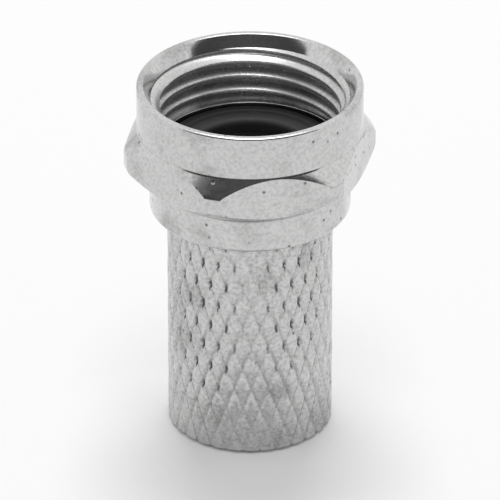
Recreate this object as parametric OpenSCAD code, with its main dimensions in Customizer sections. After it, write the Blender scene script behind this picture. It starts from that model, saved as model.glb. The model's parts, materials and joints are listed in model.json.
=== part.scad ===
// Twist-on F connector for 7 mm coaxial cable.
// A captive hexagon coupling nut turns freely on the neck of a knurled cable body.
// A rubber seal lies on the body's front flange, inside the nut.
// The connector stands on the cable end of its body, with its axis on Z and its mouth up.

/* [Overall] */
// Length from the cable end to the rim of the nut
length = 18.5; // [17:0.1:22]

/* [Coupling nut outside] */
// Length of the nut along the axis
nut_length = 6.6; // [6:0.1:7.6]
// Distance across the spanner flats
hex_across_flats = 11.1; // [11.05:0.05:11.6]
// Diameter that the hexagon's corners are turned down to
hex_corner_d = 12.4; // [12:0.05:12.6]
// Diameter of the round collar at the mouth
collar_d = 11; // [10.8:0.05:11.05]
// Length of the collar from the rim to the hexagon
collar_length = 2.2; // [1.8:0.05:2.6]
// Length of the cone that widens the collar to the hexagon's corners
front_cone_length = 0.85; // [0.5:0.05:1.1]
// Length of the hexagon's corners between the two cones
corner_land = 0.85; // [0.4:0.05:1.2]
// Length of the cone that narrows the hexagon to the rear hub
rear_cone_length = 0.95; // [0.6:0.05:1.2]
// Wall of the round hub behind the hexagon, round the seal's chamber
hub_wall = 0.4; // [0.3:0.01:0.6]
// Bevel at the hub's rear edge
hub_bevel = 0.2; // [0.1:0.05:0.5]
// Radius of the rounding at the rim's outer edge
rim_radius = 0.18; // [0.05:0.01:0.25]

/* [Coupling nut inside] */
// Diameter at the roots of the 3/8 inch, 32 turns to the inch thread
thread_root_d = 9.6; // [9.55:0.01:9.8]
// Width of the smooth conical lead-in, from the thread's roots out to the rim
lead_in_width = 0.38; // [0.2:0.01:0.5]
// Depth of the lead-in
lead_in_depth = 0.65; // [0.5:0.05:1.2]
// Thickness of the inward lip that keeps the nut on the neck
lip_thickness = 0.8; // [0.6:0.05:1.1]
// Bevel at both edges of the lip's bore
lip_bevel = 0.15; // [0.05:0.01:0.3]

/* [Cable body] */
// Outside diameter of the knurled barrel
barrel_d = 8.1; // [7.8:0.05:8.6]
// Bevel at both ends of the barrel
barrel_bevel = 0.2; // [0.1:0.05:0.3]
// Diameter of the neck that the nut turns on
neck_d = 7; // [6.4:0.05:7.2]
// Diameter of the flange that holds the nut on
flange_d = 8.7; // [8.4:0.05:8.9]
// Thickness of the flange
flange_thickness = 0.55; // [0.4:0.05:0.8]
// Bevel at the flange's front edge
flange_bevel = 0.12; // [0.05:0.01:0.2]
// Diameter of the bore for the cable's jacket, at the roots of its thread
jacket_bore_d = 6.8; // [6.4:0.05:7]
// Distance from the barrel's shoulder back to the end of the jacket bore
bore_step = 0.45; // [0.3:0.05:1.5]
// Bevel at the jacket bore's mouth
jacket_bevel = 0.25; // [0.1:0.05:0.35]
// Diameter of the bore for the cable's inner insulation
core_bore_d = 4.8; // [4.4:0.05:5]
// Width of the step where the core bore widens, near the flange's front
core_step = 0.2; // [0.16:0.01:0.25]
// Depth of the wider part of the core bore
core_front_depth = 0.85; // [0.4:0.05:1.2]
// Bevel at the core bore's front edge
core_bevel = 0.15; // [0.05:0.01:0.3]

/* [Knurl] */
// Number of grooves that lean each way
knurl_count = 30; // [24:1:34]
// Angle of the grooves to the axis, in degrees
knurl_angle = 20; // [18:0.5:30]
// Width of a groove, measured round the barrel
groove_width = 0.3; // [0.2:0.02:0.4]
// Depth of a groove
groove_depth = 0.12; // [0.06:0.01:0.16]

/* [Seal] */
// Inside diameter of the rubber seal
seal_inner_d = 5.6; // [5.4:0.05:6.4]
// Outside diameter of the rubber seal
seal_outer_d = 8.8; // [8.6:0.05:9.1]
// Height of the rubber seal
seal_height = 1.45; // [1.1:0.05:1.6]
// Radius of the rounding at the seal's two front edges
seal_round = 0.4; // [0.2:0.05:0.5]

/* [Clearances] */
// Gap round the neck in the nut's lip
neck_clearance = 0.08; // [0.03:0.01:0.1]
// Gap between the barrel's shoulder and the back of the nut
rest_gap = 0.04; // [0.02:0.01:0.1]
// Free travel of the nut along the neck
end_float = 0.3; // [0.1:0.05:0.5]
// Gap between the seal's front and the last turn of the thread
seal_gap = 0.05; // [0.02:0.01:0.2]
// Gap round the seal in its chamber
seal_side_gap = 0.1; // [0.05:0.01:0.2]

/* [Hidden] */

// Small overlap that carries a cut past the face it starts from
over = 0.5;
// Number of flats and corners on the hexagon
hex_sides = 6;
// Steps in a quarter of a rounded edge
round_steps = 6;

nut_back_z = length - nut_length;
lip_front_z = nut_back_z + lip_thickness;
lip_bore_r = neck_d / 2 + neck_clearance;
shoulder_z = nut_back_z - rest_gap;
flange_back_z = lip_front_z + end_float;
flange_front_z = flange_back_z + flange_thickness;
seal_front_z = flange_front_z + seal_height;
thread_back_z = seal_front_z + seal_gap;
lead_in_back_z = length - lead_in_depth;
chamber_r = max(seal_outer_d, flange_d) / 2 + seal_side_gap;
hub_r = chamber_r + hub_wall;
jacket_end_z = shoulder_z - bore_step;

collar_back_z = length - collar_length;
corner_front_z = collar_back_z - front_cone_length;
corner_back_z = corner_front_z - corner_land;
hub_front_z = corner_back_z - rear_cone_length;
hex_corner_r = hex_across_flats / 2 / cos(180 / hex_sides);

// Points of a quarter circle about a centre, from one angle to the next
function arc(centre, radius, from, to) =
    [for (i = [0 : round_steps])
        let (a = from + (to - from) * i / round_steps)
        centre + radius * [cos(a), sin(a)]];

// ---------- Coupling nut ----------

// Outline of the turned blank: hub, two cones, corner land and collar
module nut_blank_outline() {
    polygon(concat(
        [[0, nut_back_z],
         [hub_r - hub_bevel, nut_back_z],
         [hub_r, nut_back_z + hub_bevel],
         [hub_r, hub_front_z],
         [hex_corner_d / 2, corner_back_z],
         [hex_corner_d / 2, corner_front_z],
         [collar_d / 2, collar_back_z]],
        arc([collar_d / 2 - rim_radius, length - rim_radius], rim_radius, 0, 90),
        [[0, length]]
    ));
}

// Outline of the space inside: lip bore, seal chamber, thread bore and lead-in
module nut_inside_outline() {
    thread_root_r = thread_root_d / 2;
    // The lead-in's cone carries on past the rim at the same slope
    past_rim = over * lead_in_width / lead_in_depth;
    polygon([
        [0, nut_back_z - over],
        [lip_bore_r + lip_bevel + over, nut_back_z - over],
        [lip_bore_r, nut_back_z + lip_bevel],
        [lip_bore_r, lip_front_z - lip_bevel],
        [lip_bore_r + lip_bevel, lip_front_z],
        [chamber_r, lip_front_z],
        [chamber_r, thread_back_z],
        [thread_root_r, thread_back_z],
        [thread_root_r, lead_in_back_z],
        [thread_root_r + lead_in_width + past_rim, length + over],
        [0, length + over]
    ]);
}

module coupling_nut() {
    color("gainsboro")
    difference() {
        intersection() {
            rotate_extrude($fn = 180) nut_blank_outline();
            translate([0, 0, nut_back_z - over])
                cylinder(r = hex_corner_r, h = nut_length + 2 * over, $fn = hex_sides);
        }
        rotate_extrude($fn = 180) nut_inside_outline();
    }
}

// ---------- Cable body ----------

// The knurl lies between the bevels at the barrel's two ends
knurl_back_z = barrel_bevel;
knurl_length = shoulder_z - 2 * barrel_bevel;
// Angle round the barrel between two grooves that lean the same way
groove_pitch = 360 / knurl_count;
// Whole diamonds along the knurl, at the lean that is nearest to the one asked for
diamonds_long = round(tan(knurl_angle) * knurl_length * 720 / (PI * barrel_d * groove_pitch));
// Height of half a diamond, and the turn of a groove for each millimetre of height
diamond_step = knurl_length / diamonds_long;
groove_turn = groove_pitch / 2 / diamond_step;
// Half of a groove's width, as an angle round the barrel
groove_half = groove_width / barrel_d * 180 / PI;
// Each groove has a left edge, a floor and a right edge
groove_lines = [-groove_half, 0, groove_half];
lines_round = len(groove_lines) * knurl_count;
last_row = len(groove_lines) * diamonds_long;

// Place of line i in its groove: 0 is the left edge, 1 the floor and 2 the right edge
function groove_of(i) = floor(i / len(groove_lines));
function place_in_groove(i) = i - len(groove_lines) * groove_of(i);
function on_floor(i) = place_in_groove(i) == 1;
// Angle of a groove line about the axis, where it starts at the knurl's back end
function line_angle(i) = groove_of(i) * groove_pitch + groove_lines[place_in_groove(i)];
// A knurl point is where line i, leaning one way, crosses line j, leaning the other way
function knurl_point(i, j) =
    let (r = barrel_d / 2 - (on_floor(i) || on_floor(j) ? groove_depth : 0),
         a = (line_angle(i) + line_angle(j)) / 2,
         climb = (line_angle(i) - line_angle(j)) / 2 / groove_turn)
    [r * cos(a), r * sin(a), knurl_back_z + climb];
// The end rings close the knurl with a bevel
function end_ring(row, z) =
    [for (i = [0 : lines_round - 1])
        let (p = knurl_point(i, i - row), r = barrel_d / 2 - barrel_bevel)
        [p[0], p[1], 0] * r / norm([p[0], p[1]]) + [0, 0, z]];
function knurl_index(i, row) = i % lines_round + lines_round * row;

// Solid rod with a diamond knurl over its side and a bevel at each end
module knurled_rod() {
    back_ring = last_row + 1;
    front_ring = last_row + 2;
    back_tip = lines_round * (last_row + 3);
    front_tip = back_tip + 1;
    knurl_points = [for (row = [0 : last_row], i = [0 : lines_round - 1]) knurl_point(i, i - row)];
    faces = [for (i = [0 : lines_round - 1]) each concat(
        [for (row = [0 : last_row - 1])
            [knurl_index(i, row), knurl_index(i + 1, row + 1), knurl_index(i + 1, row)]],
        [for (row = [1 : last_row])
            [knurl_index(i, row), knurl_index(i + 1, row), knurl_index(i, row - 1)]],
        [[knurl_index(i, back_ring), knurl_index(i, 0), knurl_index(i + 1, 0)],
         [knurl_index(i, back_ring), knurl_index(i + 1, 0), knurl_index(i + 1, back_ring)],
         [knurl_index(i, back_ring), knurl_index(i + 1, back_ring), back_tip],
         [knurl_index(i, last_row), knurl_index(i, front_ring), knurl_index(i + 1, front_ring)],
         [knurl_index(i, last_row), knurl_index(i + 1, front_ring), knurl_index(i + 1, last_row)],
         [knurl_index(i + 1, front_ring), knurl_index(i, front_ring), front_tip]]
    )];
    polyhedron(
        points = concat(
            knurl_points,
            end_ring(0, 0),
            end_ring(last_row, shoulder_z),
            [[0, 0, 0], [0, 0, shoulder_z]]
        ),
        faces = faces
    );
}

// Outline of the neck and its flange, from inside the barrel to the front face
module neck_outline() {
    polygon([
        [0, jacket_end_z],
        [neck_d / 2, jacket_end_z],
        [neck_d / 2, flange_back_z],
        [flange_d / 2, flange_back_z],
        [flange_d / 2, flange_front_z - flange_bevel],
        [flange_d / 2 - flange_bevel, flange_front_z],
        [0, flange_front_z]
    ]);
}

// Outline of the jacket bore, the stepped core bore and their bevels
module bore_outline() {
    core_r = core_bore_d / 2;
    front_r = core_r + core_step;
    polygon([
        [0, -over],
        [jacket_bore_d / 2 + jacket_bevel + over, -over],
        [jacket_bore_d / 2, jacket_bevel],
        [jacket_bore_d / 2, jacket_end_z],
        [core_r, jacket_end_z],
        [core_r, flange_front_z - core_front_depth],
        [front_r, flange_front_z - core_front_depth],
        [front_r, flange_front_z - core_bevel],
        [front_r + core_bevel + over, flange_front_z + over],
        [0, flange_front_z + over]
    ]);
}

module knurled_body() {
    color("silver")
    difference() {
        union() {
            knurled_rod();
            rotate_extrude($fn = 180) neck_outline();
        }
        rotate_extrude($fn = 180) bore_outline();
    }
}

// ---------- Seal ----------

module seal_ring() {
    inner_r = seal_inner_d / 2;
    outer_r = seal_outer_d / 2;
    round_z = seal_front_z - seal_round;
    color("dimgray")
    rotate_extrude($fn = 180)
        polygon(concat(
            [[inner_r, flange_front_z], [outer_r, flange_front_z]],
            arc([outer_r - seal_round, round_z], seal_round, 0, 90),
            arc([inner_r + seal_round, round_z], seal_round, 90, 180)
        ));
}

coupling_nut();
knurled_body();
seal_ring();
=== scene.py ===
"""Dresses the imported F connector: its turned nut, its knurled body and its rubber seal.

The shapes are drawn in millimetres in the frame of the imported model, and each finished piece is
brought to metres once. The connector stands on its cable end on a pale studio floor.
"""

import json
import logging
import math
from dataclasses import dataclass, field
from enum import Enum

import bmesh
import bpy
from mathutils import Matrix, Vector


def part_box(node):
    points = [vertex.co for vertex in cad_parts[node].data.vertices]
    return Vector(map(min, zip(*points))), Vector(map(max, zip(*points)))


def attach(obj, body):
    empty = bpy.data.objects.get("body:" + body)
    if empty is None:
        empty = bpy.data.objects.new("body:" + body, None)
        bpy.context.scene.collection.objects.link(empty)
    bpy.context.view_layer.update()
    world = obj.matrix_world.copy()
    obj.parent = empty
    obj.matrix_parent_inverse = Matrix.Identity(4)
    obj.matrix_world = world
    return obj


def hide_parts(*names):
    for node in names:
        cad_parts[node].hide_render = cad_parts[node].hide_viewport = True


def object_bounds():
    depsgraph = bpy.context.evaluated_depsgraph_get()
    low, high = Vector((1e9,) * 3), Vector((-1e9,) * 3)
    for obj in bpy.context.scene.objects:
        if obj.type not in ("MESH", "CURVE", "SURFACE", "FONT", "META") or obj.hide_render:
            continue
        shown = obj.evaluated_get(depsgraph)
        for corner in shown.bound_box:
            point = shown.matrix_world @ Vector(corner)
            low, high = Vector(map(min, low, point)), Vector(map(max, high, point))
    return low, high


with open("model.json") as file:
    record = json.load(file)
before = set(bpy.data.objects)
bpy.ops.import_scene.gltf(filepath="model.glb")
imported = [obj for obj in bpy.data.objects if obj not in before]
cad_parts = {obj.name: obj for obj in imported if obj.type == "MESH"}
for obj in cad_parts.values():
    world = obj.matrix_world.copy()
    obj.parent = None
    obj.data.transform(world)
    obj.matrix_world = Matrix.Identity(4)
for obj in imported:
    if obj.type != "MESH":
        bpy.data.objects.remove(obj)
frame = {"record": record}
CAD_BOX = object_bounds()

LOG = logging.getLogger("f_connector")

MM = 0.001
AXIS = Vector((0.0, 0.0, 1.0))
ORIGIN = (0.0, 0.0, 0.0)
FULL_TURN = 2.0 * math.pi
# Points nearer than this, in millimetres, are one point
SAME_POINT = 1e-4
# Edges whose faces meet at a larger angle than this stay sharp
CREASE = math.radians(32.0)
# How much more the large faces count in the shading of a smooth edge
LARGE_FACE_WEIGHT = 90
# The knurl's own attribute: the painted shade in its grooves and crossings
GROOVE_SHADE_LAYER = "groove"
# A distance in millimetres, or a share, that is small but clear of rounding errors
SLIGHT = 0.01
# Places of the colour sockets of a Mix node, whose names its other sockets share
MIX_FIRST, MIX_SECOND, MIX_RESULT = 6, 7, 2

Colour = tuple[float, float, float, float]
# Radius and height of an outline's corner and, where it is rounded, the set-back of the rounding
Corner = tuple[float, float] | tuple[float, float, float]
OutlinePart = bmesh.types.BMVert | bmesh.types.BMEdge


class Body(Enum):
    """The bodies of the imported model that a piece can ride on."""

    CABLE_BODY = "cable_body"
    NUT = "nut"


class Slot(Enum):
    """The record's material slots."""

    NUT = "nickel_nut"
    BODY = "nickel_body"
    SEAL = "black_rubber"


class NutFinish(Enum):
    """The places of the nut's finishes in its list of materials."""

    TURNED = 0
    FLAT = 1
    THREAD = 2


# ---------------------------------------------------------------------------------------------
# Shader building
# ---------------------------------------------------------------------------------------------


class Signal:
    """A value that varies over a surface, written as part of an expression."""

    def __init__(self, graph: "Graph", socket: bpy.types.NodeSocket) -> None:
        """Wraps a node's output.

        Args:
            graph: The graph that the node belongs to.
            socket: The output that carries the value.
        """
        self.graph = graph
        self.socket = socket

    def _math(self, operation: str, *values: "Signal | float") -> "Signal":
        """Adds a Math node.

        Args:
            operation: The Math node's operation.
            *values: Its inputs, in order.

        Returns:
            The node's result.
        """
        sockets = dict(enumerate(values))
        return self.graph.node("ShaderNodeMath", {"operation": operation}, sockets)

    def __add__(self, other: "Signal | float") -> "Signal":
        """Returns self + other."""
        return self._math("ADD", self, other)

    def __radd__(self, other: float) -> "Signal":
        """Returns other + self."""
        return self._math("ADD", other, self)

    def __rsub__(self, other: float) -> "Signal":
        """Returns other - self."""
        return self._math("SUBTRACT", other, self)

    def __mul__(self, other: "Signal | float") -> "Signal":
        """Returns self * other."""
        return self._math("MULTIPLY", self, other)

    def __rmul__(self, other: float) -> "Signal":
        """Returns other * self."""
        return self._math("MULTIPLY", other, self)

    def root(self) -> "Signal":
        """Returns the square root of self."""
        return self._math("SQRT", self)

    def at_least(self, other: "Signal | float") -> "Signal":
        """Returns the larger of self and other."""
        return self._math("MAXIMUM", self, other)

    def at_most(self, other: "Signal | float") -> "Signal":
        """Returns the smaller of self and other."""
        return self._math("MINIMUM", self, other)

    def ramp(self, low: float, high: float) -> "Signal":
        """Draws a smooth step.

        Args:
            low: The value at which the step is still 0.
            high: The value from which it is 1.

        Returns:
            The step, from 0 to 1.
        """
        settings = {"interpolation_type": "SMOOTHSTEP", "clamp": True}
        inputs = {"Value": self, "From Min": low, "From Max": high, "To Min": 0.0, "To Max": 1.0}
        return self.graph.node("ShaderNodeMapRange", settings, inputs)


class Graph:
    """A material's or world's node tree, built from expressions."""

    def __init__(self, tree: bpy.types.NodeTree) -> None:
        """Empties a node tree, ready for building.

        Args:
            tree: The tree to build in.
        """
        self.tree = tree
        tree.nodes.clear()

    def node(
        self,
        kind: str,
        settings: dict[str, object] | None = None,
        inputs: dict[str | int, object] | None = None,
        output: str | int = 0,
    ) -> Signal:
        """Adds one node.

        Args:
            kind: The node's type.
            settings: Properties of the node, set before its inputs.
            inputs: Values or signals for its sockets, by name or place.
            output: The output to return.

        Returns:
            The chosen output.
        """
        node = self.tree.nodes.new(kind)
        for name, value in (settings or {}).items():
            setattr(node, name, value)
        for key, value in (inputs or {}).items():
            socket = node.inputs[key]
            if isinstance(value, Signal):
                self.tree.links.new(value.socket, socket)
            else:
                socket.default_value = value
        return Signal(self, node.outputs[output])

    def place_mm(self) -> Signal:
        """Returns the point on the piece, in millimetres."""
        point = self.node("ShaderNodeTexCoord", output="Object")
        scale = {0: point, "Scale": 1.0 / MM}
        return self.node("ShaderNodeVectorMath", {"operation": "SCALE"}, scale)

    def lathe_place(self, point: Signal) -> Signal:
        """Drops a point's direction about the axis, so that a pattern on it runs in rings.

        Args:
            point: A point on the piece.

        Returns:
            A point that has only that one's radius and height.
        """
        parts = [self.node("ShaderNodeSeparateXYZ", None, {0: point}, i) for i in range(3)]
        radius = (parts[0] * parts[0] + parts[1] * parts[1]).root()
        return self.node("ShaderNodeCombineXYZ", None, {"X": radius, "Z": parts[2]})

    def noise(self, point: Signal, scale: float, detail: float) -> Signal:
        """Returns smooth noise from 0 to 1, with scale lumps to the millimetre."""
        inputs = {"Vector": point, "Scale": scale, "Detail": detail, "Roughness": 0.5}
        return self.node("ShaderNodeTexNoise", {"normalize": True}, inputs)

    def blend(self, factor: Signal, first: Colour | Signal, second: Colour | Signal) -> Signal:
        """Mixes two colours.

        Args:
            factor: Share of the second colour, from 0 to 1.
            first: The first colour.
            second: The second colour.

        Returns:
            The mixed colour.
        """
        inputs = {0: factor, MIX_FIRST: first, MIX_SECOND: second}
        return self.node("ShaderNodeMix", {"data_type": "RGBA"}, inputs, MIX_RESULT)

    def bump(self, height: Signal, depth_mm: float, normal: Signal | None = None) -> Signal:
        """Tilts a normal by a height field.

        Args:
            height: The height, from 0 to 1.
            depth_mm: The real depth that a height of 1 stands for.
            normal: A normal to start from, or None for the piece's own.

        Returns:
            The tilted normal.
        """
        inputs = {"Strength": 1.0, "Distance": depth_mm * MM, "Height": height}
        if normal is not None:
            inputs["Normal"] = normal
        return self.node("ShaderNodeBump", None, inputs)

    def seen(self) -> Signal:
        """Returns 1 for what the camera sees, also in a mirror or through glass, else 0."""
        kinds = ("Is Camera Ray", "Is Glossy Ray", "Is Transmission Ray")
        camera, glossy, clear = [self.node("ShaderNodeLightPath", output=kind) for kind in kinds]
        return camera.at_least(glossy).at_least(clear)

    def finish(self, shader: Signal) -> None:
        """Joins a shader to the tree's output.

        Args:
            shader: The whole surface's or world's shader.
        """
        is_world = any(world.node_tree == self.tree for world in bpy.data.worlds)
        kind = "ShaderNodeOutputWorld" if is_world else "ShaderNodeOutputMaterial"
        self.tree.links.new(shader.socket, self.tree.nodes.new(kind).inputs["Surface"])


def grey(level: float) -> Colour:
    """Returns a neutral colour."""
    return (level, level, level, 1.0)


def new_material(name: str) -> tuple[bpy.types.Material, Graph]:
    """Makes an empty material.

    Args:
        name: The material's name.

    Returns:
        The material and its graph.
    """
    material = bpy.data.materials.new(name)
    material.use_nodes = True
    return material, Graph(material.node_tree)


@dataclass(frozen=True)
class NickelPlate:
    """Bright nickel over turned brass: tool rings, small pits, faint stains, painted groove shade.

    A scale counts a pattern's lumps to the millimetre, and a range gives the two values of the
    pattern between which its mark comes up.

    Attributes:
        name: The material's name.
        colour: The clean plate's colour.
        stain: The colour of the stains and the mottling.
        pit: The colour inside the small pits, and the painted shade in the knurl's grooves.
        metallic: Share of the surface that is bright metal.
        roughness: The clean plate's roughness.
        ring_roughness: Roughness that the tool rings add.
        dirt_roughness: Roughness that stains and mottling add.
        pit_roughness: Roughness that a pit adds.
        ring_scale: Scale of the tool rings.
        ring_depth: Depth of the tool rings, in millimetres.
        wave_scale: Scale of the plate's soft waves.
        wave_depth: Depth of the waves, in millimetres.
        stain_scale: Scale of the stains.
        stain_range: Range of the stains.
        stain_strength: Strength of the stains, from 0 to 1.
        mottle_scale: Scale of the fine light and dark mottling.
        mottle_range: Range of the mottling.
        mottle: Strength of the mottling, from 0 to 1.
        pit_scale: Scale of the cells that may hold a pit.
        pit_size: Distances from a cell's middle, in cells, to the ends of a pit's floor and edge.
        pit_share: Share of the cells that hold a pit.
        pit_depth: Depth of the pits, in millimetres.
    """

    name: str
    colour: Colour = (0.62, 0.62, 0.617, 1.0)
    stain: Colour = (0.36, 0.36, 0.358, 1.0)
    pit: Colour = (0.17, 0.17, 0.17, 1.0)
    metallic: float = 1.0
    roughness: float = 0.10
    ring_roughness: float = 0.04
    dirt_roughness: float = 0.12
    pit_roughness: float = 0.2
    ring_scale: float = 9.0
    ring_depth: float = 0.0006
    wave_scale: float = 0.55
    wave_depth: float = 0.006
    stain_scale: float = 0.45
    stain_range: tuple[float, float] = (0.50, 0.70)
    stain_strength: float = 0.5
    mottle_scale: float = 6.0
    mottle_range: tuple[float, float] = (0.34, 0.76)
    mottle: float = 0.5
    pit_scale: float = 1.6
    pit_size: tuple[float, float] = (0.05, 0.20)
    pit_share: float = 0.10
    pit_depth: float = 0.01

    def material(self) -> bpy.types.Material:
        """Builds the finish.

        Returns:
            The material.
        """
        material, graph = new_material(self.name)
        place = graph.place_mm()
        rings = graph.noise(graph.lathe_place(place), self.ring_scale, detail=3.0)
        waves = graph.noise(place, self.wave_scale, detail=1.0)
        stains = graph.noise(place, self.stain_scale, detail=4.0).ramp(*self.stain_range)
        mottle = graph.noise(place, self.mottle_scale, detail=3.0).ramp(*self.mottle_range)
        dirt = (stains * self.stain_strength + mottle * self.mottle).at_most(1.0)
        # The knurl's layer paints shade into its grooves and crossings with the pit colour
        grooves = graph.node("ShaderNodeAttribute", {"attribute_name": GROOVE_SHADE_LAYER}, output="Fac")
        pits = self.pits(graph, place).at_least(grooves)
        normal = graph.bump(waves, self.wave_depth)
        normal = graph.bump(rings, self.ring_depth, normal)
        normal = graph.bump(1.0 - pits, self.pit_depth, normal)
        roughness = self.roughness + self.ring_roughness * rings
        roughness = roughness + self.dirt_roughness * dirt + self.pit_roughness * pits
        clean = graph.blend(dirt, self.colour, self.stain)
        inputs = {
            "Base Color": graph.blend(pits, clean, self.pit),
            "Metallic": self.metallic,
            "Roughness": roughness,
            "Normal": normal,
        }
        graph.finish(graph.node("ShaderNodeBsdfPrincipled", None, inputs))
        return material

    def pits(self, graph: Graph, place: Signal) -> Signal:
        """Scatters round pits.

        Args:
            graph: The material's graph.
            place: The point on the piece, in millimetres.

        Returns:
            A mask that is 1 inside the pits.
        """
        inputs = {"Vector": place, "Scale": self.pit_scale, "Randomness": 1.0}
        distance = graph.node("ShaderNodeTexVoronoi", None, inputs, "Distance")
        cell = graph.node("ShaderNodeTexVoronoi", None, inputs, "Color")
        chance = graph.node("ShaderNodeSeparateColor", None, {0: cell})
        chosen = 1.0 - chance.ramp(self.pit_share, self.pit_share + SLIGHT)
        return chosen * (1.0 - distance.ramp(*self.pit_size))


@dataclass(frozen=True)
class BlackRubber:
    """Moulded black rubber with a dull skin and a little dust.

    Attributes:
        name: The material's name.
        colour: The clean rubber's colour.
        dust: The dust's colour.
        dust_share: Share of the rubber that shows as dust where it lies thickest.
        patch_scale: Dusty patches to the millimetre.
        patch_range: Values of the patches' pattern between which the dust comes up.
        grain_scale: Grains to the millimetre.
        grain_range: Values of the grain between which it catches the dust.
        grain_depth: Depth of the grain, in millimetres.
        roughness: Roughness of the smoothest rubber.
        grain_roughness: Roughness that the grain adds.
        dust_roughness: Roughness that the dust adds.
    """

    name: str
    colour: Colour = (0.014, 0.014, 0.015, 1.0)
    dust: Colour = (0.07, 0.07, 0.07, 1.0)
    dust_share: float = 0.6
    patch_scale: float = 1.1
    patch_range: tuple[float, float] = (0.55, 0.85)
    grain_scale: float = 14.0
    grain_range: tuple[float, float] = (0.4, 0.8)
    grain_depth: float = 0.004
    roughness: float = 0.55
    grain_roughness: float = 0.25
    dust_roughness: float = 0.1

    def material(self) -> bpy.types.Material:
        """Builds the finish.

        Returns:
            The material.
        """
        material, graph = new_material(self.name)
        place = graph.place_mm()
        grain = graph.noise(place, self.grain_scale, detail=3.0)
        patches = graph.noise(place, self.patch_scale, detail=4.0)
        dust = patches.ramp(*self.patch_range) * grain.ramp(*self.grain_range) * self.dust_share
        roughness = self.roughness + self.grain_roughness * grain + self.dust_roughness * dust
        inputs = {
            "Base Color": graph.blend(dust, self.colour, self.dust),
            "Roughness": roughness,
            "Normal": graph.bump(grain, self.grain_depth),
        }
        graph.finish(graph.node("ShaderNodeBsdfPrincipled", None, inputs))
        return material


# ---------------------------------------------------------------------------------------------
# Workshop: the operations that every piece is made with
# ---------------------------------------------------------------------------------------------


def mount_radius(name: str) -> float:
    """Returns the radius, in millimetres, that the record gives one of the part's mounts."""
    mounts = {mount["name"]: mount for mount in frame["record"]["mounts"]}
    return mounts[name]["dims"]["r_mm"]


def outline(bm: bmesh.types.BMesh, corners: list[Corner], closed: bool = True) -> list[OutlinePart]:
    """Draws a lathe outline in the plane through the axis.

    Args:
        bm: The mesh to draw in.
        corners: The outline's corners, in order.
        closed: Whether the last corner joins the first.

    Returns:
        The outline's points and edges.
    """
    before = set(bm.verts)
    points = [bm.verts.new((corner[0], 0.0, corner[1])) for corner in corners]
    following = points[1:] + points[:1] if closed else points[1:]
    for point, after in zip(points, following):
        bm.edges.new((point, after))
    for point, corner in zip(points, corners):
        if len(corner) == 3:
            round_corner(bm, point, corner[2])
    drawn = [vert for vert in bm.verts if vert not in before]
    return drawn + [edge for edge in bm.edges if edge.verts[0] not in before]


def round_corner(bm: bmesh.types.BMesh, corner: bmesh.types.BMVert, set_back: float) -> None:
    """Rounds one corner of an outline.

    Args:
        bm: The mesh that holds the outline.
        corner: The corner, which is used up.
        set_back: Distance from the corner at which the rounding starts.
    """
    bmesh.ops.bevel(
        bm,
        geom=[corner],
        offset=set_back,
        offset_type="OFFSET",
        segments=4,
        profile=0.5,
        affect="VERTICES",
        material=-1,
    )


def turn(
    bm: bmesh.types.BMesh,
    geometry: list[OutlinePart],
    steps: int,
    angle: float = FULL_TURN,
    rise: float = 0.0,
) -> list[OutlinePart]:
    """Turns an outline about the connector's axis.

    Args:
        bm: The mesh that holds the outline.
        geometry: The outline's points and edges.
        steps: Number of steps over the angle.
        angle: Angle to turn through.
        rise: Climb along the axis over the whole angle.

    Returns:
        The outline's copy at the end of the turn.
    """
    done = bmesh.ops.spin(
        bm,
        geom=geometry,
        cent=ORIGIN,
        axis=AXIS,
        dvec=AXIS * (rise / steps),
        angle=angle,
        steps=steps,
        use_merge=angle == FULL_TURN and rise == 0.0,
        use_duplicate=False,
    )
    return done["geom_last"]


def swing(bm: bmesh.types.BMesh, verts: list[bmesh.types.BMVert], angle: float) -> None:
    """Swings points about the connector's axis by an angle."""
    bmesh.ops.rotate(bm, verts=verts, cent=ORIGIN, matrix=Matrix.Rotation(angle, 3, "Z"))


def tidy(bm: bmesh.types.BMesh) -> None:
    """Merges doubled points, drops faces with no area and points all faces outwards.

    Args:
        bm: The mesh to tidy.
    """
    bmesh.ops.remove_doubles(bm, verts=bm.verts, dist=SAME_POINT)
    bmesh.ops.dissolve_degenerate(bm, dist=SAME_POINT, edges=bm.edges)
    bmesh.ops.recalc_face_normals(bm, faces=bm.faces)


def add_mesh(bm: bmesh.types.BMesh, own: bmesh.types.BMesh) -> None:
    """Adds a finished mesh to another.

    Args:
        bm: The mesh to add to.
        own: The mesh to add, which is used up.
    """
    carrier = bpy.data.meshes.new("carrier")
    own.to_mesh(carrier)
    own.free()
    bm.from_mesh(carrier)
    bpy.data.meshes.remove(carrier)


def make_piece(
    bm: bmesh.types.BMesh,
    name: str,
    finishes: list[bpy.types.Material],
) -> bpy.types.Object:
    """Turns a mesh drawn in millimetres into a finished piece in metres.

    Args:
        bm: The mesh, which is used up.
        name: The piece's name.
        finishes: Its materials, in the order of the faces' numbers.

    Returns:
        The piece, at the origin.
    """
    bmesh.ops.scale(bm, vec=(MM, MM, MM), verts=bm.verts)
    for face in bm.faces:
        face.smooth = True
    for edge in bm.edges:
        edge.smooth = len(edge.link_faces) == 2 and edge.calc_face_angle(0.0) < CREASE
    mesh = bpy.data.meshes.new(name)
    bm.to_mesh(mesh)
    bm.free()
    for finish in finishes:
        mesh.materials.append(finish)
    piece = bpy.data.objects.new(name, mesh)
    bpy.context.scene.collection.objects.link(piece)
    weighted = piece.modifiers.new("even_normals", "WEIGHTED_NORMAL")
    weighted.keep_sharp = True
    weighted.weight = LARGE_FACE_WEIGHT
    return piece


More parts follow.
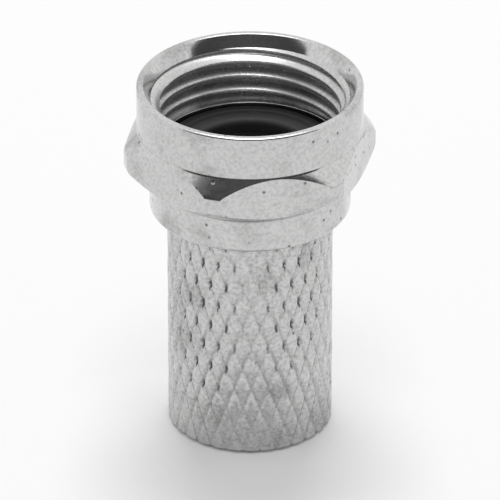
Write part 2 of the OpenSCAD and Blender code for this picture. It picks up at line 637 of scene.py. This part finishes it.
@dataclass
class Thread:
    """A screw thread's ridge, standing inwards from the wall of a bore.

    Attributes:
        pitch: Climb for each turn.
        root_radius: Radius of the bore's wall.
        crest_radius: Radius at the ridge's crest.
        crest_width: Width of the flat along the crest.
        crest_round: Set-back of the rounding at the crest's two edges.
        foot: Half of the ridge's width at the wall.
        start_height: Height of the ridge's middle at its lower end.
        start_angle: Angle about the axis of its lower end.
        turns: Number of turns.
        fade: Number of turns over which the ridge rises at its lower end.
        fade_out: Number of turns over which it sinks again at its upper end.
        steps: Number of steps in a turn.
        in_wall: How far the ridge's foot reaches into the wall.
        sunk: How far behind the wall's face the ridge's two ends lie.
    """

    pitch: float
    root_radius: float
    crest_radius: float
    crest_width: float
    crest_round: float
    foot: float
    start_height: float
    start_angle: float
    turns: float
    fade: float
    fade_out: float
    steps: int
    in_wall: float = 0.05
    sunk: float = 0.02

    def wind(self) -> bmesh.types.BMesh:
        """Winds the ridge.

        Returns:
            A mesh of its own.
        """
        own = bmesh.new()
        start = outline(own, self.section())
        count = round(self.turns * self.steps)
        end = turn(own, start, count, self.turns * FULL_TURN, self.turns * self.pitch)
        for loop in (start, end):
            edges = [part for part in loop if isinstance(part, bmesh.types.BMEdge)]
            bmesh.ops.contextual_create(own, geom=edges)
        for vert in own.verts:
            self.sink(vert)
        swing(own, own.verts[:], self.start_angle)
        return own

    def section(self) -> list[Corner]:
        """Draws the ridge's section.

        Returns:
            Its corners, with its foot a little way inside the wall.
        """
        middle = self.start_height
        half = self.crest_width / 2.0
        inside = self.root_radius + self.in_wall
        halfway = (self.root_radius + self.crest_radius) / 2.0
        flank = (self.foot + half) / 2.0
        return [
            (self.root_radius, middle - self.foot),
            (halfway, middle - flank),
            (self.crest_radius, middle - half, self.crest_round),
            (self.crest_radius, middle + half, self.crest_round),
            (halfway, middle + flank),
            (self.root_radius, middle + self.foot),
            (inside, middle + self.foot),
            (inside, middle - self.foot),
        ]

    def sink(self, vert: bmesh.types.BMVert) -> None:
        """Moves a point of the ridge outwards where the ridge rises or sinks.

        Args:
            vert: The point, before the ridge is swung to its start angle.
        """
        part = math.atan2(vert.co.y, vert.co.x) / FULL_TURN
        whole = round((vert.co.z - self.start_height) / self.pitch - part)
        place = whole + part
        height = min(1.0, place / self.fade, (self.turns - place) / self.fade_out)
        radius = vert.co.xy.length
        inwards = max(0.0, self.root_radius + self.sunk - radius)
        vert.co.xy *= (radius + inwards * (1.0 - max(0.0, height))) / radius


# ---------------------------------------------------------------------------------------------
# The nut
# ---------------------------------------------------------------------------------------------


@dataclass
class CouplingNut:
    """The turned nut with its round collar, six flats, inner thread and back lip.

    Attributes:
        collar_radius: Radius of the collar at the mouth.
        collar_length: Length of the collar.
        front_cone: Length of the cone from the collar to the corners.
        corner_land: Length of the corners between the cones.
        rear_cone: Length of the cone from the corners to the hub.
        hub_radius: Radius of the round hub behind the flats.
        lip_thickness: Thickness of the inward lip at the back.
        lip_bore: Radius of the lip's bore.
        chamber_radius: Radius of the seal's chamber.
        chamber_length: Length of the chamber, from the lip to the thread.
        lead_in_depth: Depth of the conical lead-in.
        lead_in_radius: Radius of the lead-in at the rim.
        hub_round: Set-back of the rounding at the hub's back edge.
        soft_round: Set-back of the roundings at the cones' ends and along the lip.
        collar_round: Set-back of the rounding between the collar and its cone.
        rim_round: Set-back of the rounding at the rim's outer edge.
        mouth_round: Set-back of the rounding at the rim's inner edge.
        lead_in_round: Set-back of the rounding at the lead-in's end.
        chamber_rounds: Set-backs of the roundings at the chamber's front and back.
        sides: Number of flats.
        flat_edge: Width of the soft edge round each flat.
        flat_steps: Steps of the turned blank along a flat.
        corner_steps: Steps of the turned blank along a corner.
        pitch: Pitch of the thread.
        flank_angle: Slope of the thread's flanks, in degrees.
        crest_radius: Radius at the thread's crests.
        crest_width: Width of the flat along a crest.
        crest_round: Set-back of the rounding along a crest's edges.
        first_crest: Depth of the first crest behind the lead-in's end.
        first_crest_angle: Angle about the axis where the crest has that depth, in degrees.
        run_on: Turns that the ridge goes on for past that place.
        thread_fades: Turns over which the ridge rises at its back and sinks at its front.
        thread_steps: Number of steps in a turn of the thread.
        facing_slope: Fall of the sloping face that ends the thread, for each millimetre inwards.
        facing_rise: Height of that face's outer edge above the lead-in's end.
        facing_cover: How far behind the lead-in's cone the rest of the ridge is hidden.
        facing_tuck: How much less it is hidden at the lead-in's end, where it fades out.
        facing_limit: How far past the rim's inner edge a point may be moved out.
        back: Height of the nut's back.
        rim: Height of its rim.
        corner_radius: Radius over its corners.
        flat_distance: Distance of its flats from the axis.
        root_radius: Radius of its bore between the thread's ridges.
    """

    collar_radius: float = 5.5
    collar_length: float = 2.2
    front_cone: float = 0.85
    corner_land: float = 0.85
    rear_cone: float = 0.95
    hub_radius: float = 4.9
    lip_thickness: float = 0.8
    lip_bore: float = 3.58
    chamber_radius: float = 4.5
    chamber_length: float = 2.35
    lead_in_depth: float = 0.65
    lead_in_radius: float = 5.18
    hub_round: float = 0.2
    soft_round: float = 0.12
    collar_round: float = 0.08
    rim_round: float = 0.1
    mouth_round: float = 0.03
    lead_in_round: float = 0.05
    chamber_rounds: tuple[float, float] = (0.04, 0.08)
    sides: int = 6
    flat_edge: float = 0.05
    flat_steps: int = 44
    corner_steps: int = 6
    pitch: float = 25.4 / 32.0
    flank_angle: float = 30.0
    crest_radius: float = 4.38
    crest_width: float = 0.2
    crest_round: float = 0.07
    first_crest: float = 0.56
    first_crest_angle: float = 77.0
    run_on: float = 1.07
    thread_fades: tuple[float, float] = (0.15, 0.1)
    thread_steps: int = 96
    facing_slope: float = 1.15
    facing_rise: float = 0.1
    facing_cover: float = 0.03
    facing_tuck: float = 0.08
    facing_limit: float = 0.15
    back: float = field(init=False)
    rim: float = field(init=False)
    corner_radius: float = field(init=False)
    flat_distance: float = field(init=False)
    root_radius: float = field(init=False)

    def __post_init__(self) -> None:
        """Takes the nut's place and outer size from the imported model."""
        low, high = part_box("coupling_nut")
        self.back = low[2] / MM
        self.rim = high[2] / MM
        self.corner_radius = high[0] / MM
        self.flat_distance = high[1] / MM
        self.root_radius = mount_radius("mouth_thread")

    def build(self, finishes: list[bpy.types.Material]) -> bpy.types.Object:
        """Makes the nut.

        Args:
            finishes: The finishes, in the order of NutFinish.

        Returns:
            The finished piece.
        """
        bm = bmesh.new()
        self.turn_blank(bm)
        self.cut_flats(bm)
        self.cut_thread(bm)
        nut = make_piece(bm, "turned_nut", finishes)
        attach(nut, Body.NUT.value)
        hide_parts("coupling_nut")
        return nut

    def section(self) -> list[Corner]:
        """Draws the blank's section.

        Returns:
            Its corners, outside first, from the hub's back edge.
        """
        collar_back = self.rim - self.collar_length
        corner_front = collar_back - self.front_cone
        corner_back = corner_front - self.corner_land
        hub_front = corner_back - self.rear_cone
        lip_front = self.back + self.lip_thickness
        chamber_front = lip_front + self.chamber_length
        lead_in_back = self.rim - self.lead_in_depth
        front_round, back_round = self.chamber_rounds
        return [
            (self.hub_radius, self.back, self.hub_round),
            (self.hub_radius, hub_front, self.soft_round),
            (self.corner_radius, corner_back, self.soft_round),
            (self.corner_radius, corner_front, self.soft_round),
            (self.collar_radius, collar_back, self.collar_round),
            (self.collar_radius, self.rim, self.rim_round),
            (self.lead_in_radius, self.rim, self.mouth_round),
            (self.root_radius, lead_in_back, self.lead_in_round),
            (self.root_radius, chamber_front),
            (self.chamber_radius, chamber_front, front_round),
            (self.chamber_radius, lip_front, back_round),
            (self.lip_bore, lip_front, self.soft_round),
            (self.lip_bore, self.back, self.soft_round),
        ]

    def turn_blank(self, bm: bmesh.types.BMesh) -> None:
        """Turns the round blank, with a step exactly where each flat will end.

        Args:
            bm: The nut's empty mesh.
        """
        half_side = FULL_TURN / self.sides / 2.0
        half_flat = math.acos(self.flat_distance / self.corner_radius)
        place = outline(bm, self.section())
        verts = [part for part in place if isinstance(part, bmesh.types.BMVert)]
        swing(bm, verts, half_side - half_flat)
        for _ in range(self.sides):
            place = turn(bm, place, self.flat_steps, 2.0 * half_flat)
            place = turn(bm, place, self.corner_steps, 2.0 * (half_side - half_flat))
        tidy(bm)

    def cut_flats(self, bm: bmesh.types.BMesh) -> None:
        """Cuts the flats and softens their edges.

        Args:
            bm: The turned blank.
        """
        soft_edges = []
        for side in range(self.sides):
            angle = (side + 0.5) / self.sides * FULL_TURN
            normal = Vector((math.cos(angle), math.sin(angle), 0.0))
            cut = bmesh.ops.bisect_plane(
                bm,
                geom=bm.verts[:] + bm.edges[:] + bm.faces[:],
                dist=SAME_POINT,
                plane_co=normal * self.flat_distance,
                plane_no=normal,
                clear_outer=True,
            )
            edges = [part for part in cut["geom_cut"] if isinstance(part, bmesh.types.BMEdge)]
            for face in bmesh.ops.contextual_create(bm, geom=edges)["faces"]:
                face.material_index = NutFinish.FLAT.value
            soft_edges += [edge for edge in edges if edge.is_valid]
        bmesh.ops.recalc_face_normals(bm, faces=bm.faces)
        bmesh.ops.bevel(
            bm,
            geom=soft_edges,
            offset=self.flat_edge,
            offset_type="OFFSET",
            segments=2,
            profile=0.5,
            affect="EDGES",
            clamp_overlap=True,
            material=NutFinish.TURNED.value,
        )

    def cut_thread(self, bm: bmesh.types.BMesh) -> None:
        """Adds the thread's ridge and gives the wall between its turns the same finish.

        Args:
            bm: The nut with its flats.
        """
        back_end = self.back + self.lip_thickness + self.chamber_length
        front_end = self.rim - self.lead_in_depth
        for face in bm.faces:
            middle = face.calc_center_median()
            on_wall = middle.xy.length < self.root_radius + SLIGHT
            if on_wall and back_end < middle.z < front_end:
                face.material_index = NutFinish.THREAD.value
        ridge = self.thread(back_end, front_end).wind()
        for face in ridge.faces:
            face.material_index = NutFinish.THREAD.value
        for vert in ridge.verts:
            self.face_off(vert, front_end)
        add_mesh(bm, ridge)
        tidy(bm)

    def thread(self, back_end: float, front_end: float) -> Thread:
        """Lays out the thread so that its first crest lies at its depth and angle.

        Args:
            back_end: Height where the threaded wall ends at the chamber.
            front_end: Height where it ends at the lead-in.

        Returns:
            The thread.
        """
        depth = self.root_radius - self.crest_radius
        foot = self.crest_width / 2.0 + depth * math.tan(math.radians(self.flank_angle))
        start_height = back_end + foot
        turns_to_first = (front_end - self.first_crest - start_height) / self.pitch
        fade, fade_out = self.thread_fades
        return Thread(
            pitch=self.pitch,
            root_radius=self.root_radius,
            crest_radius=self.crest_radius,
            crest_width=self.crest_width,
            crest_round=self.crest_round,
            foot=foot,
            start_height=start_height,
            start_angle=math.radians(self.first_crest_angle) - turns_to_first * FULL_TURN,
            turns=turns_to_first + self.run_on,
            fade=fade,
            fade_out=fade_out,
            steps=self.thread_steps,
        )

    def face_off(self, vert: bmesh.types.BMVert, front_end: float) -> None:
        """Moves a point of the ridge outwards, where the ridge is faced off towards the lead-in.

        Args:
            vert: The point.
            front_end: Height where the threaded wall ends at the lead-in.
        """
        radius = vert.co.xy.length
        rise = vert.co.z - front_end
        facing = self.root_radius + (rise - self.facing_rise) / self.facing_slope
        cone = (self.lead_in_radius - self.root_radius) / self.lead_in_depth
        hidden = self.root_radius + rise * cone + self.facing_cover
        if radius < self.root_radius - SLIGHT:
            hidden -= self.facing_tuck * max(1.0 - rise / self.facing_rise, 0.0)
        limit = self.lead_in_radius + self.facing_limit
        vert.co.xy *= max(radius, min(max(facing, hidden), limit)) / radius


# ---------------------------------------------------------------------------------------------
# The knurled body
# ---------------------------------------------------------------------------------------------


@dataclass(frozen=True)
class WheelBite:
    """How deep the knurling wheel bit round the barrel and along it.

    Attributes:
        shallow_side: Angle about the axis where it bit least, in degrees.
        least_around: Bite left on the shallow sides, as a share of the deepest.
        sharpness: Power that narrows the deep sides.
        fade_height: Middle of the fade towards the cable end.
        fade_lean: How much higher that middle lies on the +X side, and lower on the -X side.
        fade_length: Length of the fade.
        least_along: Bite left at the cable end, as a share of the deepest.
    """

    shallow_side: float = -102.0
    least_around: float = 0.1
    sharpness: float = 1.5
    fade_height: float = 4.2
    fade_lean: float = 1.6
    fade_length: float = 2.4
    least_along: float = 0.12

    def at(self, angle: float, height: float) -> float:
        """Gives the bite at one place.

        Args:
            angle: Angle about the axis.
            height: Height above the cable end.

        Returns:
            The bite, as a share of the deepest.
        """
        middle = self.fade_height + self.fade_lean * math.cos(angle)
        along = min(max((height - middle) / self.fade_length + 0.5, self.least_along), 1.0)
        from_shallow = angle - math.radians(self.shallow_side)
        around = abs(math.sin(2.0 * from_shallow)) ** self.sharpness
        return along * (self.least_around + (1.0 - self.least_around) * around)


@dataclass
class KnurledBody:
    """The cable body: knurled barrel, neck, flange and the bores through them.

    Attributes:
        barrel_radius: Radius over the knurl.
        barrel_end: Height of the barrel's shoulder.
        barrel_bevel: Bevel at both ends of the barrel.
        neck_radius: Radius of the neck that the nut turns on.
        neck_fillet: Set-back of the fillets at the neck's two ends.
        flange_radius: Radius of the flange.
        flange_thickness: Thickness of the flange.
        flange_round: Set-back of the rounding at the flange's front edge.
        soft_round: Set-back of the small roundings elsewhere on the body.
        core_step: Step where the core bore widens.
        core_step_round: Set-back of the rounding at that step.
        core_front_depth: Depth of the wider part of the core bore.
        core_front_round: Set-back of the rounding at that bore's front edge.
        jacket_end: Height of the end of the jacket bore.
        jacket_lead_in: Depth and width of the cone at the jacket bore's mouth.
        cable_end_round: Set-back of the rounding at that cone's outer edge.
        grooves: Number of grooves that lean each way.
        rows: Number of whole diamonds along the barrel.
        cuts: Cuts across each diamond.
        groove_width: Width of a groove round the barrel.
        shoulder: Where the rounding of a groove's shoulder starts and ends, in half widths.
        shoulder_sink: Sink where that rounding starts, as a share of the groove's depth.
        face_edge: Where the even division of a diamond's face starts, in half widths.
        groove_depth: Depth of a groove between its crossings.
        crossing_depth: Depth that a crossing adds to its two grooves.
        pillow: Fall of a diamond's face from its middle to its edges.
        groove_shade: Painted shade in the grooves, as a share of a pit's colour.
        crossing_shade: Painted shade that a crossing adds at the deepest bite.
        bite: How deep the knurling wheel bit.
        jacket_pitch: Pitch of the coarse thread that bites the cable's jacket.
        jacket_crest: Height of that thread's crests.
        jacket_crest_width: Width of the flat along a crest.
        jacket_crest_round: Set-back of the rounding along a crest's edges.
        jacket_foot: Half of the ridge's width at the bore's wall.
        jacket_run_in: Height of the thread's lower end.
        jacket_run_out: Distance from its upper end to the end of the bore.
        jacket_fade: Turns over which the ridge rises and sinks.
        jacket_steps: Number of steps in a turn of that thread.
        front: Height of the flange's front face.
        jacket_radius: Radius of the jacket bore.
        core_radius: Radius of the core bore.
    """

    barrel_radius: float = 4.05
    barrel_end: float = 11.86
    barrel_bevel: float = 0.2
    neck_radius: float = 3.5
    neck_fillet: float = 0.06
    flange_radius: float = 4.35
    flange_thickness: float = 0.55
    flange_round: float = 0.12
    soft_round: float = 0.05
    core_step: float = 0.2
    core_step_round: float = 0.03
    core_front_depth: float = 0.85
    core_front_round: float = 0.15
    jacket_end: float = 11.41
    jacket_lead_in: float = 0.25
    cable_end_round: float = 0.04
    grooves: int = 30
    rows: int = 5
    cuts: int = 7
    groove_width: float = 0.32
    shoulder: tuple[float, float] = (0.85, 1.15)
    shoulder_sink: float = 0.12
    face_edge: float = 1.2
    groove_depth: float = 0.045
    crossing_depth: float = 0.2
    pillow: float = 0.025
    groove_shade: float = 0.13
    crossing_shade: float = 0.8
    bite: WheelBite = WheelBite()
    jacket_pitch: float = 1.1
    jacket_crest: float = 0.22
    jacket_crest_width: float = 0.1
    jacket_crest_round: float = 0.03
    jacket_foot: float = 0.32
    jacket_run_in: float = 0.9
    jacket_run_out: float = 0.5
    jacket_fade: float = 0.5
    jacket_steps: int = 64
    front: float = field(init=False)
    jacket_radius: float = field(init=False)
    core_radius: float = field(init=False)

    def __post_init__(self) -> None:
        """Takes the body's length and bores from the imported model."""
        self.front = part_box("knurled_body")[1][2] / MM
        self.jacket_radius = mount_radius("jacket_bore")
        self.core_radius = mount_radius("core_bore")

    def build(self, plate: bpy.types.Material) -> bpy.types.Object:
        """Makes the body.

        Args:
            plate: The finish of the whole body.

        Returns:
            The finished piece.
        """
        bm = bmesh.new()
        self.cut_diamonds(bm)
        self.roll_knurl(bm)
        self.turn_rest(bm)
        self.wind_jacket_thread(bm)
        body = make_piece(bm, "knurled_barrel", [plate])
        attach(body, Body.CABLE_BODY.value)
        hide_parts("knurled_body")
        return body

    def cut_diamonds(self, bm: bmesh.types.BMesh) -> None:
        """Cuts a flat sheet, one unit wide and high, into finely divided diamonds.

        Args:
            bm: The body's empty mesh.
        """
        bmesh.ops.create_grid(bm, x_segments=self.grooves, y_segments=self.rows, size=0.5)
        crossed = [edge for edge in bm.edges if not edge.is_boundary]
        bmesh.ops.poke(bm, faces=bm.faces[:])
        bmesh.ops.dissolve_edges(bm, edges=crossed, use_verts=False, use_face_split=False)
        bmesh.ops.subdivide_edges(bm, edges=bm.edges[:], cuts=self.cuts, use_grid_fill=True)
        bmesh.ops.poke(bm, faces=bm.faces[:])

    def roll_knurl(self, bm: bmesh.types.BMesh) -> None:
        """Sinks the grooves between the diamonds, paints shade into them and rolls the sheet up to
        the barrel.

        Args:
            bm: The sheet.
        """
        shade_layer = bm.verts.layers.float.new(GROOVE_SHADE_LAYER)
        length = self.barrel_end - 2.0 * self.barrel_bevel
        for vert in bm.verts:
            across = (vert.co.x + 0.5) * self.grooves
            along = (vert.co.y + 0.5) * self.rows
            rising, rising_sink = self.groove(across + along)
            falling, falling_sink = self.groove(across - along)
            angle = (rising + falling) / 2.0 / self.grooves * FULL_TURN
            height = self.barrel_bevel + (rising - falling) / 2.0 / self.rows * length
            groove = max(rising_sink, falling_sink)
            crossing = self.bite.at(angle, height) * min(rising_sink, falling_sink)
            fall = max(self.rounding(across + along), self.rounding(across - along))
            sink = self.groove_depth * groove + self.crossing_depth * crossing + self.pillow * fall
            radius = self.barrel_radius - sink
            # Painted shade: in the grooves, and more in the crossings where the wheel bit deeper
            vert[shade_layer] = self.groove_shade * groove + self.crossing_shade * crossing
            vert.co = (radius * math.cos(angle), radius * math.sin(angle), height)
        bmesh.ops.remove_doubles(bm, verts=bm.verts, dist=SAME_POINT)

    def groove(self, place: float) -> tuple[float, float]:
        """Draws the sheet's lines towards the nearest groove.

        Args:
            place: Place across the grooves of one lean, in pitches.

        Returns:
            The place that the line moves to, and how far it sinks, from 0 to 1.
        """
        pitch = FULL_TURN * self.barrel_radius / self.grooves
        edge = self.groove_width / 2.0 / pitch
        diamond_middle = 0.5 / edge
        face_line = (self.face_edge + diamond_middle) / 2.0
        stops = [0.0, *self.shoulder, face_line, diamond_middle]
        sinks = [1.0, self.shoulder_sink, 0.0, 0.0, 0.0]
        whole = round(place)
        step = min(abs(place - whole) * 2.0, 1.0) * (len(stops) - 1)
        index = min(int(step), len(stops) - 2)
        part = step - index
        moved = (stops[index] + (stops[index + 1] - stops[index]) * part) * edge
        sink = sinks[index] + (sinks[index + 1] - sinks[index]) * part
        return whole + math.copysign(moved, place - whole), sink

    def rounding(self, place: float) -> float:
        """Returns how far a diamond's face has fallen at a place across the grooves, 0 to 1."""
        share = 1.0 - min(abs(place - round(place)) * 2.0, 1.0)
        return share * share

    def section(self) -> list[Corner]:
        """Draws the section of the body's turned faces.

        Returns:
            Its corners, from the barrel's shoulder over the flange and the bores to the cable end.
        """
        end_radius = self.barrel_radius - self.barrel_bevel
        flange_back = self.front - self.flange_thickness
        front_radius = self.core_radius + self.core_step
        step = self.front - self.core_front_depth
        return [
            (end_radius, self.barrel_end),
            (self.neck_radius, self.barrel_end, self.neck_fillet),
            (self.neck_radius, flange_back, self.neck_fillet),
            (self.flange_radius, flange_back, self.soft_round),
            (self.flange_radius, self.front, self.flange_round),
            (front_radius, self.front, self.core_front_round),
            (front_radius, step, self.core_step_round),
            (self.core_radius, step, self.core_step_round),
            (self.core_radius, self.jacket_end, self.soft_round),
            (self.jacket_radius, self.jacket_end),
            (self.jacket_radius, self.jacket_lead_in, self.soft_round),
            (self.jacket_radius + self.jacket_lead_in, 0.0, self.cable_end_round),
            (end_radius, 0.0),
        ]

    def turn_rest(self, bm: bmesh.types.BMesh) -> None:
        """Turns the neck, the flange and the bores, and joins them to the knurl's two ends.

        Args:
            bm: The rolled knurl.
        """
        knurl_ends = [edge for edge in bm.edges if edge.is_boundary]
        # One step for each edge round the knurl, so that the two join edge to edge
        steps = len(knurl_ends) // 2
        own = bmesh.new()
        turn(own, outline(own, self.section(), closed=False), steps)
        add_mesh(bm, own)
        ends = [edge for edge in bm.edges if edge.is_boundary]
        middle = self.barrel_end / 2.0
        upper = [edge for edge in ends if edge.verts[0].co.z > middle]
        lower = [edge for edge in ends if edge.verts[0].co.z < middle]
        for loops in (upper, lower):
            bmesh.ops.bridge_loops(bm, edges=loops)
        tidy(bm)

    def wind_jacket_thread(self, bm: bmesh.types.BMesh) -> None:
        """Adds the coarse thread inside the barrel, which bites the cable's jacket.

        Args:
            bm: The closed body.
        """
        length = self.jacket_end - self.jacket_run_out - self.jacket_run_in
        thread = Thread(
            pitch=self.jacket_pitch,
            root_radius=self.jacket_radius,
            crest_radius=self.jacket_radius - self.jacket_crest,
            crest_width=self.jacket_crest_width,
            crest_round=self.jacket_crest_round,
            foot=self.jacket_foot,
            start_height=self.jacket_run_in,
            start_angle=0.0,
            turns=length / self.jacket_pitch,
            fade=self.jacket_fade,
            fade_out=self.jacket_fade,
            steps=self.jacket_steps,
        )
        add_mesh(bm, thread.wind())
        tidy(bm)


# ---------------------------------------------------------------------------------------------
# The seal
# ---------------------------------------------------------------------------------------------


@dataclass
class RubberSeal:
    """The black rubber ring that lies on the flange.

    Attributes:
        inner_radius: Radius of its hole.
        front_round: Set-back of the rounding at its front edges.
        soft_round: Set-back of the rounding at its back edges and along the groove.
        flash: Height of the fine moulding line round its hole.
        flash_half: Half of that line's width.
        groove_start: Inner radius of the shallow groove round its front.
        groove_end: Outer radius of the groove.
        groove_wall: Width of the groove's sloping walls.
        groove_depth: Depth of the groove.
        groove_round: Set-back of the rounding along the groove's floor.
        steps: Steps round the ring.
    """

    inner_radius: float = 2.8
    front_round: float = 0.28
    soft_round: float = 0.05
    flash: float = 0.02
    flash_half: float = 0.06
    groove_start: float = 3.55
    groove_end: float = 3.90
    groove_wall: float = 0.10
    groove_depth: float = 0.05
    groove_round: float = 0.04
    steps: int = 192

    def build(self, rubber: bpy.types.Material) -> bpy.types.Object:
        """Makes the seal.

        Args:
            rubber: Its finish.

        Returns:
            The finished piece.
        """
        bm = bmesh.new()
        turn(bm, outline(bm, self.section()), self.steps)
        tidy(bm)
        seal = make_piece(bm, "rubber_seal", [rubber])
        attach(seal, Body.CABLE_BODY.value)
        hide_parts("seal_ring")
        return seal

    def section(self) -> list[Corner]:
        """Draws the seal's section.

        Returns:
            Its corners, from the hole's back edge over the front to the outer back edge.
        """
        low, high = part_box("seal_ring")
        back, front, outer = low[2] / MM, high[2] / MM, high[0] / MM
        middle = (back + front) / 2.0
        floor = front - self.groove_depth
        return [
            (self.inner_radius, back, self.soft_round),
            (self.inner_radius, middle - self.flash_half),
            (self.inner_radius + self.flash, middle),
            (self.inner_radius, middle + self.flash_half),
            (self.inner_radius, front, self.front_round),
            (self.groove_start, front, self.soft_round),
            (self.groove_start + self.groove_wall, floor, self.groove_round),
            (self.groove_end - self.groove_wall, floor, self.groove_round),
            (self.groove_end, front, self.soft_round),
            (outer, front, self.front_round),
            (outer, back, self.soft_round),
        ]


# ---------------------------------------------------------------------------------------------
# The studio
# ---------------------------------------------------------------------------------------------


@dataclass
class Studio:
    """Pale floor, soft even light, a dark card that the metal mirrors, and the camera.

    Attributes:
        azimuth: The camera's direction about the connector, in degrees.
        elevation: The camera's height above the connector, in degrees.
        distance: The camera's distance from the connector's middle, in metres.
        lens: The camera's focal length, in millimetres.
        clip: Nearest and farthest distance that the camera sees, in metres.
        floor_size: Width of the floor, in metres.
        floor_grey: The floor's colour.
        floor_glow: Strength of what the floor adds where it is seen, which lights nothing.
        card_azimuth: The dark card's direction about the connector, in degrees.
        card_distance: Distance of the dark card, in metres.
        card_half_width: Half of the card's width, in metres.
        card_low: Height of the card's lower edge, in metres.
        card_high: Height of the card's upper edge, in metres.
        card_grey: The card's colour.
        tent_light: Strength of the white surroundings as a light.
        lamp_distance: The lamps' distance, in metres.
        lamp_size: Width of each lamp, in metres.
        front_elevation: The front lamp's height above the connector, in degrees.
        front_watts: The front lamp's power, in watts.
        back_elevation: The back lamp's height above the connector, in degrees.
        back_watts: The back lamp's power, in watts.
    """

    azimuth: float = -12.9
    elevation: float = 30.0
    distance: float = 0.33
    lens: float = 485.0
    clip: tuple[float, float] = (0.01, 20.0)
    floor_size: float = 6.0
    floor_grey: float = 0.94
    floor_glow: float = 0.05
    card_azimuth: float = -11.5
    card_distance: float = 0.45
    card_half_width: float = 1.10
    card_low: float = 0.02
    card_high: float = 0.62
    card_grey: float = 0.12
    tent_light: float = 0.40
    lamp_distance: float = 0.60
    lamp_size: float = 0.26
    front_elevation: float = 76.0
    front_watts: float = 0.7
    back_elevation: float = 70.0
    back_watts: float = 1.6

    def build(self) -> None:
        """Sets up the whole studio, with one lamp in front and one behind for the shadow."""
        self.lay_floor()
        self.hang_card()
        self.light_world()
        self.hang_lamp("front_lamp", self.front_elevation, self.front_watts)
        self.hang_lamp("back_lamp", 180.0 - self.back_elevation, self.back_watts)
        self.place_camera()

    def towards_camera(self, elevation: float) -> Vector:
        """Turns a height above the connector, on the camera's side, into a direction.

        Args:
            elevation: The height in degrees, which passes 90 for the far side.

        Returns:
            The direction from the connector, one long.
        """
        around = math.radians(self.azimuth)
        up = math.radians(elevation)
        flat = math.cos(up)
        return Vector((math.sin(around) * flat, -math.cos(around) * flat, math.sin(up)))

    def lay_floor(self) -> None:
        """Lays the pale floor, which keeps the connector's shadow."""
        bm = bmesh.new()
        bmesh.ops.create_grid(bm, x_segments=1, y_segments=1, size=self.floor_size / 2.0 / MM)
        material, graph = new_material("studio_floor")
        diffuse = graph.node("ShaderNodeBsdfDiffuse", None, {"Color": grey(self.floor_grey)})
        glow = {"Color": grey(1.0), "Strength": graph.seen() * self.floor_glow}
        glow = graph.node("ShaderNodeEmission", None, glow)
        graph.finish(graph.node("ShaderNodeAddShader", None, {0: diffuse, 1: glow}))
        make_piece(bm, "studio_floor", [material])

    def hang_card(self) -> None:
        """Hangs the dark card that the metal mirrors, on the camera's side and out of its view."""
        bm = bmesh.new()
        bmesh.ops.create_grid(bm, x_segments=1, y_segments=1, size=0.5)
        width = 2.0 * self.card_half_width / MM
        height = (self.card_high - self.card_low) / MM
        bmesh.ops.scale(bm, vec=(width, height, 1.0), verts=bm.verts)
        stand = Matrix.Rotation(math.radians(90.0), 4, "X")
        middle = (self.card_high + self.card_low) / 2.0 / MM
        place = Matrix.Translation((0.0, -self.card_distance / MM, middle))
        around = Matrix.Rotation(math.radians(self.card_azimuth), 4, "Z")
        bmesh.ops.transform(bm, matrix=around @ place @ stand, verts=bm.verts)
        material, graph = new_material("dark_card")
        dark = {"Color": grey(self.card_grey)}
        graph.finish(graph.node("ShaderNodeBsdfDiffuse", None, dark))
        card = make_piece(bm, "dark_card", [material])
        card.visible_camera = False
        card.visible_diffuse = False

    def light_world(self) -> None:
        """Surrounds the connector with white, which lights it less than it shows."""
        world = bpy.data.worlds.new("white_tent")
        world.use_nodes = True
        bpy.context.scene.world = world
        graph = Graph(world.node_tree)
        strength = self.tent_light + graph.seen() * (1.0 - self.tent_light)
        sky = {"Color": grey(1.0), "Strength": strength}
        graph.finish(graph.node("ShaderNodeBackground", None, sky))

    def hang_lamp(self, name: str, elevation: float, watts: float) -> None:
        """Hangs one large, soft, square lamp that faces the connector.

        Args:
            name: The lamp's name.
            elevation: Its height above the connector on the camera's side, in degrees.
            watts: Its power.
        """
        lamp = bpy.data.lights.new(name, "AREA")
        lamp.shape = "SQUARE"
        lamp.size = self.lamp_size
        lamp.energy = watts
        direction = self.towards_camera(elevation)
        self.aim(name, lamp, direction, direction * self.lamp_distance)

    def place_camera(self) -> None:
        """Aims the camera at the connector's middle."""
        low, high = CAD_BOX
        middle = Vector((0.0, 0.0, (low[2] + high[2]) / 2.0))
        camera = bpy.data.cameras.new("camera")
        camera.lens = self.lens
        camera.clip_start, camera.clip_end = self.clip
        direction = self.towards_camera(self.elevation)
        place = middle + direction * self.distance
        bpy.context.scene.camera = self.aim("camera", camera, direction, place)

    def aim(
        self,
        name: str,
        data: bpy.types.Light | bpy.types.Camera,
        direction: Vector,
        place: Vector,
    ) -> bpy.types.Object:
        """Places a lamp or a camera.

        Args:
            name: Its name.
            data: The lamp or camera.
            direction: The direction that it looks back along.
            place: Where it stands.

        Returns:
            Its object.
        """
        holder = bpy.data.objects.new(name, data)
        bpy.context.scene.collection.objects.link(holder)
        facing = direction.to_track_quat("Z", "Y").to_matrix().to_4x4()
        holder.matrix_world = Matrix.Translation(place) @ facing
        return holder


def main() -> None:
    """Builds the connector and the studio around it."""
    logging.basicConfig(level=logging.INFO, format="%(name)s: %(message)s")
    bpy.context.scene.view_settings.view_transform = "Standard"
    nut_finishes = {
        NutFinish.TURNED: NickelPlate("turned_nickel", pit_share=0.35),
        NutFinish.FLAT: NickelPlate("flat_nickel", ring_depth=0.0, pit_share=0.4),
        NutFinish.THREAD: NickelPlate("threaded_nickel", roughness=0.25, metallic=0.75),
    }
    knurled = NickelPlate("knurled_nickel", roughness=0.16, mottle=0.75)
    pieces = [
        CouplingNut().build([nut_finishes[finish].material() for finish in NutFinish]),
        KnurledBody().build(knurled.material()),
        RubberSeal().build(BlackRubber("seal_rubber").material()),
    ]
    for piece in pieces:
        LOG.info("%s: %d faces", piece.name, len(piece.data.polygons))
    Studio().build()


if __name__ == "__main__":
    main()
